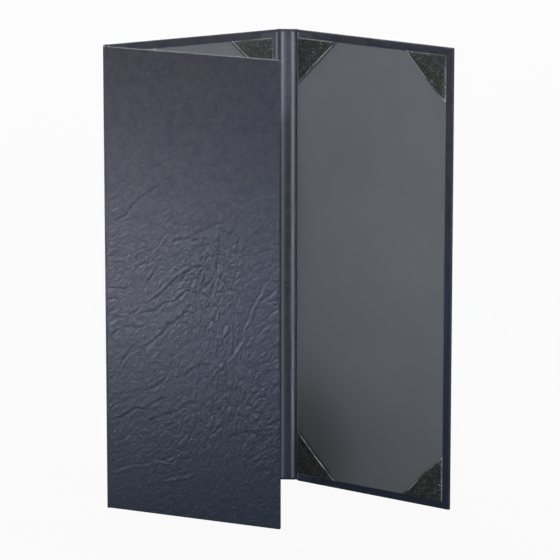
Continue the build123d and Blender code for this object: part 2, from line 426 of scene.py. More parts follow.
def trait(tree, name):
    # one of the numbers that makePiece keeps at each point
    return node(tree, "Attribute", {"attribute_name": name}, {}, 2)


def relief(height, distance, normal=None):
    # heights are in 0..1, and distance is the full height in metres
    sockets = {"Height": height, "Distance": distance}
    if normal is not None:
        sockets["Normal"] = normal
    return node(height.tree, "Bump", {}, sockets)


def newFinish(name):
    material = bpy.data.materials.new(name)
    material.use_nodes = True
    tree = material.node_tree
    tree.nodes.clear()
    return material, tree


def finishSurface(tree, sockets):
    shader = node(tree, "BsdfPrincipled", {}, sockets)
    node(tree, "OutputMaterial", {}, {"Surface": shader})


def sheetPlace(tree):
    # where a point lies on the open menu, in millimetres
    return node(tree, "Attribute", {"attribute_name": "sheet"}, {}, 1)


coverLook = {
    "cut": (0.0035, 0.006, 0.013),  # painted shade in creases
    "deep": (0.0045, 0.0095, 0.0235),  # in dark clouds, and painted shade in the wrinkle net
    "mid": (0.0055, 0.015, 0.034),
    "plum": (0.0225, 0.0215, 0.03),  # towards the head and the middle: partly faded skin, partly painted sheen
    "worn": (0.04, 0.044, 0.054),  # on pebbles, and painted highlight, partly wear, on raised folds
    "roughness": 0.48,
    "wear": 0.45,  # painted highlight, partly wear, on raised folds
    "speckle": 0.42,
    "domes": 0.00021,  # depths of the relief in metres
    "net": 0.00042,
    "grain": 0.00023,
}
wrinkles = {
    # turn in radians; lengths along, through and across, of winding lines and of flat pads
    "slanted": (0.85, (9.5, 4.0, 5.5), (9.5, 9.0, 5.0)),
    "upright": (1.35, (9.5, 4.0, 4.6), (8.5, 9.0, 4.6)),
    "small": (-1.3, (3.6, 2.0, 2.4)),
    "bandAt": 86.0,  # beyond the left spine the slanted ones give way to upright ones
    "bandWidths": (10.0, 30.0),
    "sway": (5.0, 0.0, 5.0),
    "agedFrom": 62.0,  # middle of the open menu, where the fade and its painted sheen are strongest
    "agedReach": (-100.0, 240.0),
}


def leatherette(name, look):
    # mottled dark blue skin: pebble grain, a net of fine wrinkles with painted shade along it,
    # painted highlight (partly wear) on raised folds, painted shade in creases, and a plum tint
    # that is partly painted sheen
    material, tree = newFinish(name)
    place = sheetPlace(tree)
    across, up = along(place, 0), along(place, 2)
    rumple, fold = trait(tree, "rumple"), trait(tree, "crease")
    broad = noise(place, 0.035, 3.0, 0.55)
    cloudy = noise(place, 0.16, 4.0, 0.6)
    speck = noise(place, 1.3, 3.0, 0.7)
    swayed = node(tree, "VectorMath", {"operation": "MULTIPLY_ADD"},
                  {0: noise(place, 0.22, output=1), 1: wrinkles["sway"], 2: place})

    def lines(turn, lengths, _=None):
        # 0 along winding lines, where the noise passes 1/2
        return abs(noise(stretched(place, lengths, turn), 1.0) - 0.5)

    def pads(turn, _, lengths):
        # 0 between flat pads
        return cells(stretched(swayed, lengths, turn), 1.0, "DISTANCE_TO_EDGE")

    band = stepped(abs(across + wrinkles["bandAt"]), *wrinkles["bandWidths"])
    winding = lines(*wrinkles["upright"]) * (1 - band) + lines(*wrinkles["slanted"]) * band
    padded = pads(*wrinkles["upright"]) * (1 - band) + pads(*wrinkles["slanted"]) * band
    padded = stepped(padded, 0.0, 0.24)
    small = lines(*wrinkles["small"])
    net = 0.6 * stepped(padded, 0.0, 0.5) + 0.4 * stepped(small, 0.0, 0.06)
    # plum-grey towards the head and the middle of the open menu: partly faded skin, partly painted
    # sheen
    fadeAndSheen = stepped(up - 1.2 * (abs(across - wrinkles["agedFrom"]) - 70.0) + 150.0 * (broad - 0.5),
                   *wrinkles["agedReach"])
    colour = blended(fadeAndSheen, look["mid"], look["plum"])
    colour = blended(0.8 * stepped(cloudy, 0.42, 0.68), colour, look["deep"])
    colour = blended(look["speckle"] * stepped(speck, 0.50, 0.75), colour, look["worn"])
    # painted shade along the wrinkle net, stronger where the skin is rumpled
    colour = blended((0.30 + 0.45 * rumple) * (1 - net), colour, look["deep"])
    # painted shade in the creases
    colour = blended(0.80 * stepped(0 - fold, 0.04, 0.26), colour, look["cut"])
    # painted highlight, partly wear, on raised folds
    colour = blended(look["wear"] * stepped(fold, 0.12, 0.32), colour, look["worn"])
    rough = look["roughness"] + 0.32 * (cloudy - 0.5) + 0.20 * (speck - 0.5) + 0.10 * (1 - net)
    rough = rough + 0.20 * stepped(0 - fold, 0.02, 0.22)
    domes = relief((3.0 * winding ** 0.8 + 0.9 * padded) * (0.12 + rumple), look["domes"])
    grained = 0.5 * (1 - cells(place, 1.25)) + 0.5 * speck
    bumps = relief(grained, look["grain"], relief(small, look["net"], domes))
    finishSurface(tree, {"Base Color": colour, "Roughness": rough, "Normal": bumps,
                         "Specular IOR Level": 0.5})
    return material


coverFinish = leatherette("navyLeatherette", coverLook)
# a paler copy of the cover's colours, painted lighter to stand in for light on the lining; its pale
# colour paints highlights on ribs and rounded edges, its dark ones shade in channel and joint
liningLook = dict(coverLook, wear=0.85, speckle=0.45, grain=0.00012, net=0.00018, roughness=0.47,
                  cut=(0.008, 0.012, 0.025), deep=(0.015, 0.023, 0.043),
                  mid=(0.019, 0.033, 0.064), plum=(0.04, 0.041, 0.056),
                  worn=(0.17, 0.178, 0.21))
liningFinish = leatherette("navyLining", liningLook)

pocketLook = {
    "black": (0.007, 0.0084, 0.0084),
    # painted highlights: pale specks on the pebbles
    "pale": (0.22, 0.23, 0.228),
    # painted highlight, partly wear, along the rolled hem and the legs' edges
    "hem": (0.50, 0.51, 0.51),
    "roughness": 0.34,
    "pebble": 0.95,  # pebbles to a millimetre
    "depth": 0.0004,
}


def pebbledLeather(name, look):
    # black skin of small round pebbles with dark lines between them, smoother along its folds; pale
    # specks on it are painted highlights, and its hem carries painted highlight and wear
    material, tree = newFinish(name)
    place = sheetPlace(tree)
    smooth, edge = trait(tree, "crease"), trait(tree, "rumple")
    loose = noise(place, 0.5)
    pebble = cells(place, look["pebble"])
    gaps = cells(place, look["pebble"], "DISTANCE_TO_EDGE")
    speck = noise(place, 0.85, 3.0, 0.75)
    # painted highlights: pale specks in patches, kept off the lines between pebbles
    highlightPatches = stepped(noise(place, 0.22), 0.35, 0.70)
    colour = blended(stepped(speck, 0.47, 0.70) * (0.25 + 0.75 * highlightPatches), look["black"], look["pale"])
    colour = blended(stepped(gaps, 0.0, 0.12), look["black"], colour)
    # painted highlight, partly wear, along the hem and legs, broken in patches
    worn = 0.15 + 0.85 * stepped(noise(place, 0.09), 0.38, 0.60)
    colour = blended(edge * worn * (0.5 + 0.5 * stepped(speck, 0.35, 0.6)), colour, look["hem"])
    rough = look["roughness"] + 0.16 * (loose - 0.5) + 0.14 * (1 - stepped(gaps, 0.0, 0.2))
    height = (1 - pebble) * (1 - smooth) + 0.25 * speck
    finishSurface(tree, {"Base Color": colour, "Roughness": rough,
                         "Normal": relief(height, look["depth"])})
    return material


pocketFinish = pebbledLeather("blackPebbledLeather", pocketLook)

linerLook = {
    "base": (0.088, 0.098, 0.109),
    "pale": (0.099, 0.109, 0.119),
    "rubbed": (0.11, 0.115, 0.12),
    "shade": (0.01, 0.011, 0.012),
    "roughness": 0.52,
    "tooth": 0.00003,
    "grime": (0.35, 1.5),  # reach of the painted shadow beside a pocket's slant, in millimetres
    "dim": (12.0, 62.0),  # reach of the painted shadow from the lower corner
    "dimAt": 22.0,  # that corner's height, where the painted shadow centres
}


def linerSheet(name, look, span):
    # smooth charcoal facing: faint cloudiness, fine tooth, a few rubbed places, and painted shadow
    # gathered along the four pockets' hems, by the distance (a + b - leg)/sqrt 2 from their slants
    material, tree = newFinish(f"{name}Facing")
    place = node(tree, "TexCoord", {}, {}, 3)
    cloudy = noise(place, 14.0, 4.0, 0.55)
    tooth = noise(place, 2600.0, 2.0, 0.6)
    rubbed = stepped(noise(stretched(place, (0.016, 0.016, 0.11)), 1.0, 3.0), 0.58, 0.75)
    colour = blended(stepped(cloudy, 0.35, 0.70), look["base"], look["pale"])
    colour = blended(0.10 * rubbed, colour, look["rubbed"])
    hinge, start, angle = leaves[f"{name}_panel"]
    x, y, z = (1000 * along(place, axis) for axis in range(3))
    run = (x - hinge[0]) * float(np.cos(angle)) + (y - hinge[1]) * float(np.sin(angle)) + start
    a = 0.5 * (span[1] - span[0]) - abs(run - 0.5 * (span[0] + span[1]))
    b = 0.5 * menu["height"] - menu["headMargin"] - abs(z - 0.5 * menu["height"])
    off = (a + b - menu["pocketLeg"]) * 0.7071
    # painted shadow under the pockets' hems, along their slants
    colour = blended(0.9 * (1 - stepped(off, *look["grime"])), colour, look["shade"])
    # painted shadow around the lower corner at the left, by the distance from it
    corner = ((run - span[0]) ** 2 + (0.8 * (z - look["dimAt"])) ** 2) ** 0.5
    colour = blended(0.50 * (1 - stepped(corner, *look["dim"])), colour, look["shade"])
    rough = look["roughness"] + 0.10 * (cloudy - 0.5) - 0.08 * rubbed
    finishSurface(tree, {"Base Color": colour, "Roughness": rough,
                         "Normal": relief(tooth, look["tooth"])})
    return material


def greyBoard(name, base, pale):
    # pulp board: short pale and dark fibres in a grey ground
    material, tree = newFinish(name)
    place = node(tree, "TexCoord", {}, {}, 3)
    pulp = noise(stretched(place, (0.0011, 0.0011, 0.0033)), 1.0, 4.0, 0.7)
    flecks = stepped(cells(place, 700.0), 0.0, 0.3)
    colour = blended(stepped(pulp, 0.35, 0.7), base, pale)
    colour = blended(0.5 * (1 - flecks), colour, (0.12, 0.11, 0.10))
    finishSurface(tree, {"Base Color": colour, "Roughness": 0.85 + 0.1 * (pulp - 0.5),
                         "Normal": relief(pulp, 0.00006)})
    return material


boardFinish = greyBoard("bindersBoard", (0.26, 0.25, 0.23), (0.36, 0.35, 0.32))
cardFinish = greyBoard("spineCard", (0.31, 0.29, 0.26), (0.42, 0.40, 0.36))
print("materials made")


def refinish(name, finish):
    slots = frame["nodes"][name].data.materials
    slots.clear()
    slots.append(finish)


wing, middle, gap = menu["wingWidth"], menu["middleWidth"], menu["boardGap"]
cardGap, skin = menu["cardGap"], menu["skin"]
leftSeam = -leftPitch - gap + skin
rightSeam = middlePitch + rightPitch + gap - skin
linerWidth = wing + skin - menu["wingMargin"] - menu["freeMargin"]
leftLinerEnd = leftSeam - skin - menu["wingMargin"]
rightLinerStart = rightSeam + skin + menu["wingMargin"]
linerSpans = {
    "left": (leftLinerEnd - linerWidth, leftLinerEnd),
    "middle": (gap + (middle - linerWidth) / 2, gap + (middle + linerWidth) / 2),
    "right": (rightLinerStart, rightLinerStart + linerWidth),
}
for name, span in linerSpans.items():
    refinish(f"{name}_liner", linerSheet(name, linerLook, span))
    refinish(f"{name}_board", boardFinish)
for name in ("left", "right"):
    refinish(f"{name}_spine_card", cardFinish)

# Covers: one sheet over the outside, wrapped round head, foot and free edges

coverShape = {
    "edgeRadius": 0.72,
    "steps": {"left": 0.72, "middle": 0.82, "right": 0.82, "spine": 0.66},
    "wrapSteps": 12,
    "insets": (0, 0.2, 0.5, 0.9, 1.4, 2.2, 3.4, 5.0, 8.0, 13.3),  # rows of a turn-in
    "seamSteps": (0.05, 0.12, 0.2, 0.3, 0.42, 0.56, 0.7, 0.85, 1.1),
    "lapStep": 0.02,
    "seamRoll": 0.85,  # how far from a seam the skin thins towards the joint
    "roundest": 0.46,  # an edge's largest radius, as a share of its depth
    "mitreDip": 0.12,
    "mitreWidth": 0.35,
    "calm": (0.2, 3.0),  # creases fade in this far from the edges
}
nowhere = 1e9  # farther away than any edge


def wrapProfile(k, radius, depth):
    # half turn round an edge as k goes from 0 to 1: quarter arc, straight, quarter arc
    first, straight, last = (np.clip(3 * k - shift, 0, 1) for shift in (0, 1, 2))
    quarter = np.pi / 2
    out = radius * (np.sin(quarter * first) - 1 + np.cos(quarter * last))
    down = radius * (1 - np.cos(quarter * first)) + (depth - 2 * radius) * straight
    return out, down + radius * np.sin(quarter * last)


def wrapRows(count, before, after):
    # flat rows and those that wrap round their ends: how far round, which side, which flat row
    wrap = np.linspace(0, 1, coverShape["wrapSteps"] + 1)[1:]
    first, last = wrap[::-1] if before else wrap[:0], wrap if after else wrap[:0]
    k = np.concatenate([first, np.zeros(count), last])
    row = np.arange(len(k)) - len(first)
    return k, np.where(row < 0, -1.0, 1.0), np.clip(row, 0, count - 1)


def mitreDip(mitre, inset):
    # shallow groove exp(-(m/w)^2) along the corner where two turn-ins meet
    groove = np.exp(-(mitre / coverShape["mitreWidth"]) ** 2)
    return coverShape["mitreDip"] * groove * ease(inset, 0, 0.8)


def fromHead(points):
    # the same places, with their heights measured down from the head
    return np.array(points, float) * (1, 1, -1) + (0, 0, menu["height"])


def upright(x, depths, heights):
    # outline of an upright wall that faces along the menu
    (near, far), (low, high) = depths, heights
    return [(x, near, low), (x, near, high), (x, far, high), (x, far, low)]


def coverShell(x0, x1, seams, boardDepth, frameDepth, lapReach, step, creaseAt=None):
    # Closed skin of a board: an outside grid that wraps round the edges by wrapProfile, flat
    # turn-ins inside, and the board's cavity. seams says which of the two ends has a spine.
    height, skin, margin = menu["height"], menu["skin"], menu["liningMargin"]
    radius, insets = coverShape["edgeRadius"], np.array(coverShape["insets"])
    inwards = (1, -1)
    base = [x if seam else x + way * radius for x, seam, way in zip((x0, x1), seams, inwards)]
    board = [x + way * skin for x, way in zip((x0, x1), inwards)]
    cavity = ((skin, boardDepth), (skin, height - skin))

    # columns; near a seam the border's depth falls to the joint's by a quarter arc
    beside = np.array([*coverShape["seamSteps"], lapReach, lapReach + coverShape["lapStep"]])
    marks = [np.linspace(*base, int(round((base[1] - base[0]) / step)) + 1)]
    marks += [at + way * (beside if seam else insets)
              for at, seam, way in zip(base, seams, inwards)]
    xs = np.unique(np.round(np.clip(np.concatenate(marks), *base), 4))
    xs[0], xs[-1] = base
    roll = np.minimum(*(way * (xs - at) + (0 if seam else nowhere)
                        for at, seam, way in zip(base, seams, inwards)))
    lap = roll <= lapReach + 1e-6
    web = menu["webDepth"]
    frameAt = web + (frameDepth - web) * quarterArc(roll, coverShape["seamRoll"])
    radiusAt = np.minimum(radius, coverShape["roundest"] * frameAt)
    reach = np.where(lap, margin - radiusAt, insets[-1])

    # the outside
    rows = int(round((height - 2 * radius) / step))
    rowInsets = insets / (height - 2 * radius)
    share = np.concatenate([np.linspace(0, 1, rows + 1), rowInsets, 1 - rowInsets])
    share = np.unique(np.round(share, 7))
    ku, sideU, column = (part[:, None] for part in wrapRows(len(xs), not seams[0], not seams[1]))
    kv, sideV, row = (part[None, :] for part in wrapRows(len(share), True, True))
    x, depth, r = xs[column], frameAt[column], radiusAt[column]
    z = r + (height - 2 * r) * share[row]
    k = np.maximum(ku, kv)
    small = np.minimum(ku, kv) / np.maximum(k, 1e-9)
    angle = np.where(ku >= kv, np.pi / 4 * small, np.pi / 2 - np.pi / 4 * small)
    out, down = wrapProfile(k, r, depth)
    flat = np.stack([x + sideU * out * np.cos(angle), down, z + sideV * out * np.sin(angle)], -1)
    crease, rumple = np.zeros(k.shape), np.zeros(k.shape)
    if creaseAt:
        calm = np.minimum(np.minimum(x - base[0], base[1] - x), np.minimum(z, height - z))
        crease, rumple = creaseAt(flat[..., 0], flat[..., 2])
        crease = crease * ease(calm, *coverShape["calm"]) * (k == 0)
        flat[..., 1] -= crease
    piece = Gather()
    piece.grid(flat, crease, rumple)

    # at foot and head: the turn-in, its walls down to the board, and the cavity's end
    left, right = -nowhere if seams[0] else base[0], nowhere if seams[1] else base[1]
    inset = np.minimum(insets, reach[:, None])
    stripX = np.clip(xs[:, None], left + inset, right - inset)
    mitre = np.minimum(np.abs(stripX - left - inset), np.abs(right - inset - stripX))
    foot = np.stack([stripX, frameAt[:, None] - mitreDip(mitre, inset),
                     radiusAt[:, None] + inset], -1)
    last = foot[:, -1]
    apart = np.concatenate([[True], np.hypot(*(np.diff(last, axis=0)[:, [0, 2]].T)) > 1e-6])
    last, lap = last[apart], lap[apart]
    cuts = np.flatnonzero(np.diff(lap.astype(int))) + 1
    outlines, under = [], []
    for start, stop in zip([0, *cuts], [*cuts, len(last)]):
        a, b = last[start], last[stop - 1]
        wallA, wallB = [(a[0], boardDepth, a[2])], [(b[0], boardDepth, b[2])]
        if start == 0 and seams[0]:
            wallA = [(board[0], boardDepth, a[2]), (board[0], skin, a[2]), (x0, skin, a[2])]
        if stop == len(last) and seams[1]:
            wallB = [(x1, skin, b[2]), (board[1], skin, b[2]), (board[1], boardDepth, b[2])]
        outlines.append([*last[start:stop], *wallB, *wallA])
        under += [wallA[0], wallB[-1]]
        if stop < len(last):
            n = last[stop]
            outlines.append([b, n, (n[0], boardDepth, n[2]), (b[0], boardDepth, b[2])])
    edges = [(board[1], boardDepth, skin), (board[0], boardDepth, skin)]
    outlines += [under + edges, [(board[0], skin, skin), (board[1], skin, skin), *edges]]
    outlines += [upright(at, (skin, boardDepth), (skin, margin))
                 for at, seam in zip(board, seams) if seam]
    for placed in (np.array, fromHead):
        piece.grid(placed(foot))
        for outline in outlines:
            piece.outline(placed(outline))

    # free sides: turn-in strip, its wall, and the cavity's side
    zs = radius + (height - 2 * radius) * share
    for at, near, seam, way in zip(board, base, seams, inwards):
        if seam:
            continue
        stripZ = np.clip(zs[:, None], radius + insets, height - radius - insets)
        mitre = np.minimum(stripZ - radius - insets, height - radius - insets - stripZ)
        strip = np.stack([near + way * insets + 0 * stripZ, frameDepth - mitreDip(mitre, insets),
                          stripZ], -1)
        piece.grid(strip)
        last = strip[:, -1]
        last = last[np.concatenate([[True], np.diff(last[:, 2]) > 1e-6])]
        far, low, high = last[0, 0], last[0, 2], last[-1, 2]
        piece.outline(last.tolist() + [(far, boardDepth, high), (far, boardDepth, low)])
        piece.outline([(far, boardDepth, low), (far, boardDepth, high),
                       (at, boardDepth, height - skin), (at, boardDepth, skin)])
        piece.outline(upright(at, *cavity))

    # ends at the seams, and the cavity's floor
    floor = []
    for column, end, at, seam, way in zip((0, -1), (x0, x1), board, seams, inwards):
        side = [(at, skin, skin), (at, skin, height - skin)]
        if seam:
            side[1:1] = [(at, skin, margin), (end, skin, margin),
                         (end, skin, height - margin), (at, skin, height - margin)]
            steps = np.unique(np.minimum(insets, reach[column])[1:])
            rows = [(end, frameAt[column], radiusAt[column] + step) for step in steps]
            piece.outline([*flat[column], *fromHead(rows), (end, skin, height - margin),
                           (end, skin, margin), *rows[::-1]])
        floor += side[::way]
    piece.outline(floor)
    return piece


panels = {
    # name: leaf, cover's two ends, which of them has a spine
    "left": ("left_panel", leftSeam - skin - wing - skin, leftSeam, (False, True)),
    "middle": ("middle_panel", gap - skin, gap + middle + skin, (True, True)),
    "right": ("right_panel", rightSeam, rightSeam + skin + wing + skin, (True, False)),
}
creaseMaps = {
    "left": lambda x, z: creaseHeight(-leftPitch - x, z),
    "middle": lambda x, z: creaseHeight(middlePitch - x, z, 23.0, True),
    "right": lambda x, z: creaseHeight(x - middlePitch - rightPitch, z, 57.0, True),
}
for name, (leaf, x0, x1, seams) in panels.items():
    shell = coverShell(x0, x1, seams, menu["boardDepth"], menu["frameDepth"], menu["lapReach"],
                       coverShape["steps"][name], creaseMaps[name])
    makePiece(f"{name}_cover_skin", shell, leaf, coverFinish, [f"{name}_cover"])

spines = {
    # name: start and end of the strip between its hinge lines
    "left": ("left_spine", -leftPitch + cardGap, -cardGap),
    "right": ("right_spine", middlePitch + cardGap, middlePitch + rightPitch - cardGap),
}
for name, (leaf, x0, x1) in spines.items():
    shell = coverShell(x0, x1, (True, True), menu["cardDepth"], menu["spineDepth"], nowhere,
                       coverShape["steps"]["spine"])
    makePiece(f"{name}_spine_skin", shell, leaf, coverFinish, [f"{name}_spine_cover"])
print("covers made")

# Linings and webs: a closed profile in (along, depth) carried up the height

sweepShape = {
    "step": 2.0,
    "endSteps": (0, 0.06, 0.16, 0.3, 0.5, 0.8, 1.2),
    "endRound": 0.3,
    "endPull": 0.14,
    "wave": 0.10,
    "waveLength": 13,
}


def heights(low, high):
    # rows up the height, close together at both ends
    ends = np.array(sweepShape["endSteps"])
    rows = np.linspace(low, high, int(round((high - low) / sweepShape["step"])) + 1)
    return np.unique(np.round(np.concatenate([rows[1:-1], low + ends, high - ends]), 4))


def closedSweep(flat, crease=None, rumple=None):
    # a closed profile at each height, with both of its ends filled
    piece = Gather()
    piece.grid(flat, crease, rumple, closed=True)
    piece.outline(flat[:, 0])
    piece.outline(flat[:, -1])
    return piece


def sweep(profile, low, high, shift, tone):
    # profile(x, depth) at each height, drawn in towards its middle by a quarter arc at the ends,
    # and waving by noise along the height
    z = heights(low, high)
    x, depth = profile.T
    near = np.minimum(z - low, high - z)
    pull = sweepShape["endPull"] * (1 - quarterArc(near, sweepShape["endRound"]))
    inner = np.roll(profile, -1, 0) - np.roll(profile, 1, 0)
    area = np.sum(x * np.roll(depth, -1) - np.roll(x, -1) * depth)
    normal = np.stack([-inner[:, 1], inner[:, 0]], -1) * np.sign(area)
    normal /= np.maximum(np.linalg.norm(normal, axis=1, keepdims=True), 1e-9)
    path = profile[:, None, :] + normal[:, None, :] * pull[None, :, None]
    sway = softNoise(z / sweepShape["waveLength"] + shift, profile[:, :1] * 0.2 + shift) - 0.5
    sway = sweepShape["wave"] * sway
    flat = np.stack([path[..., 0] + sway, path[..., 1] + 0.5 * sway, z[None, :] + 0 * sway], -1)
    return closedSweep(flat, tone[:, None] + 0 * sway)


def arc(cx, cy, radius, start, stop, count):
    # points of a round corner, angles in degrees
    angle = np.radians(np.linspace(start, stop, count))
    return np.stack([cx + radius * np.cos(angle), cy + radius * np.sin(angle)], -1)


def lapProfile(edge, side):
    # the lining from its lap on the board, over the rounded edge, down the leg into the joint,
    # and back along the board
    board, frame = menu["boardDepth"], menu["frameDepth"]
    points = np.array([
        (-12, frame), (-8, frame), (-4, frame + 0.02), (-2, frame + 0.04), (-1, frame + 0.03),
        *arc(-0.15, frame - 0.5, 0.5, 90, 0, 9),
        (0.35, 1.4), (0.35, 1.1), (0.36, 0.9), (0.40, 0.76), (0.48, 0.66), (0.48, 0.5), (0, 0.5),
        (0, 1), (0, board), (-2, board), (-6, board), (-12, board)])
    # painted shade down the leg into the joint, painted highlight along the rounded edge
    tone = np.where(points[:, 0] > 0.38, -0.10, 0.0)
    tone[4:13] = 0.26
    points[:, 0] = edge + side * points[:, 0]
    return points, tone


ribShape = {
    "widths": {"left": 2.2, "right": 4.2},
    "high": 0.52,
    "lead": 0.8,  # how far up its side a rib already is at the lining's edge
    "channel": 0.5,  # rib to channel
    "drop": 0.30,  # at the lining's edges
    "dropReach": 0.45,
    # painted highlight on the ribs and painted shade in the channel
    "pale": 0.43,
    "dark": 0.16,
}


def ribProfile(start, end, rib):
    # base of the spine lining with a soft rib along each side, height h sin^1.5, and its underside
    base, card, high = menu["spineDepth"], menu["cardDepth"], ribShape["high"]
    span, channel = end - start, rib + ribShape["channel"]
    s = np.unique(np.concatenate([np.linspace(0, channel, 20),
                                  np.linspace(channel, span - channel, 9),
                                  np.linspace(span - channel, span, 20)]))
    near = np.minimum(s, span - s)
    climb = np.clip((near + ribShape["lead"]) / (rib + ribShape["lead"] + 0.1), 0, 1)
    lift = high * np.sin(np.pi * climb) ** 1.5
    drop = ribShape["drop"] * (1 - ease(near, 0.0, ribShape["dropReach"]))
    top = np.stack([start + s, base + lift - drop], -1)
    foot = [(0.25, 0.74), (0.1, 0.72), (-0.02, 0.8), (-0.1, card)]
    bottom = [(end + x, depth) for x, depth in foot]
    bottom += [(start - x, depth) for x, depth in foot[::-1]]
    # painted highlight on the ribs, painted shade in the channel between them and at their feet
    tone = ribShape["pale"] * (lift / high) ** 0.6 - ribShape["dark"] - 0.6 * drop
    return np.concatenate([top, bottom]), np.concatenate([tone, np.zeros(len(bottom))])


margin, height = menu["liningMargin"], menu["height"]
laps = {
    # node: leaf, board's edge beside the spine, and which way the spine lies
    "left_lining_right_edge": ("left_panel", leftSeam - skin, 1),
    "middle_lining_left_edge": ("middle_panel", gap, -1),
    "middle_lining_right_edge": ("middle_panel", gap + middle, 1),
    "right_lining_left_edge": ("right_panel", rightSeam + skin, -1),
}
for number, (name, (leaf, edge, side)) in enumerate(laps.items()):
    profile, tone = lapProfile(edge, side)
    piece = sweep(profile, margin, height - margin, 5.0 * number, tone)
    makePiece(f"{name}_skin", piece, leaf, liningFinish, [name], sharp=60)
for name, rib in ribShape["widths"].items():
    leaf, start, end = spines[name]
    profile, tone = ribProfile(start, end, rib)
    piece = sweep(profile, margin, height - margin, 40.0 + rib, tone)
    makePiece(f"{name}_spine_ribs", piece, leaf, liningFinish, [f"{name}_spine_lining"],
              sharp=60)

bend = {
    "panelSide": 1.7,  # its reach from the hinge line
    "spineSide": 0.5,
    "steps": 19,
    "dip": 0.10,
    "round": 0.34,  # of the ends
}
webs = {
    # node: panel and spine leaves, hinge along the open menu, and which way the spine lies
    "left_web_outer": ("left_panel", "left_spine", -leftPitch, 1),
    "left_web_inner": ("middle_panel", "left_spine", 0.0, -1),
    "right_web_inner": ("middle_panel", "right_spine", middlePitch, 1),
    "right_web_outer": ("right_panel", "right_spine", middlePitch + rightPitch, -1),
}


def webProfile(hinge, side):
    # flat strip from the panel's seam to the spine's, outside first, then the side in the joint
    start, end = -(gap - skin), cardGap
    s = np.linspace(start, end, bend["steps"])
    dip = bend["dip"] * np.sin(np.pi * (s - start) / (end - start)) ** 2
    inside = np.stack([s[::-1], menu["webDepth"] - dip], -1)
    points = np.concatenate([np.stack([s, 0 * s], -1), inside])
    points[:, 0] = hinge + side * points[:, 0]
    return points


for name, (panel, spine, hinge, side) in webs.items():
    (place, panelStart, panelTurn), (spinePlace, _, spineTurn) = leaves[panel], leaves[spine]
    if panelStart != hinge:
        place = spinePlace

    def bending(flat):
        # turned about the hinge by a share that eases from the panel's turn to the spine's
        reach = side * (flat[:, 0] - hinge)
        share = ease(reach, -bend["panelSide"], bend["spineSide"])
        return turned(place, hinge, panelTurn + (spineTurn - panelTurn) * share, flat)

    z = heights(0.0, height)
    profile = webProfile(hinge, side)
    squeeze = quarterArc(np.minimum(z, height - z), bend["round"])
    half = menu["webDepth"] / 2
    x, depth = profile[:, :1], profile[:, 1:]
    piece = closedSweep(np.stack([x + 0 * z, half + (depth - half) * squeeze, 0 * x + z], -1))
    web = makePiece(f"{name}_skin", piece, None, coverFinish, [name], bending, 60)
    middleTurn = (panelTurn + spineTurn) / 2
    across = np.array([np.cos(middleTurn), np.sin(middleTurn)]) * side
    lean = np.cos((spineTurn - panelTurn) / 2)
    ends = [np.append(place + across * reach * lean, height / 2) / 1000
            for reach in (-bend["panelSide"], bend["spineSide"])]
    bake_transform(web)
print("linings and joints made")

# Corner pockets: a pebbled flap over each corner of a liner, hemmed along the slant

pocketShape = {
    "leg": menu["pocketLeg"],
    "thick": 0.3,
    "slot": 0.12,  # above the liner at the legs
    "hem": 4.6,
    "bow": 0.95,  # the slant stands off the liner
    "flatBow": 0.28,  # where two pockets meet as the menu closes
    "round": 0.55,
    "rows": (46, 9, 7, 14),  # over the top, round the rolled edge, under the hem, further in
    "columns": 45,
    "wallColumns": 5,
    "hemLift": 0.12,
    "ridge": 0.10,  # along the legs
}


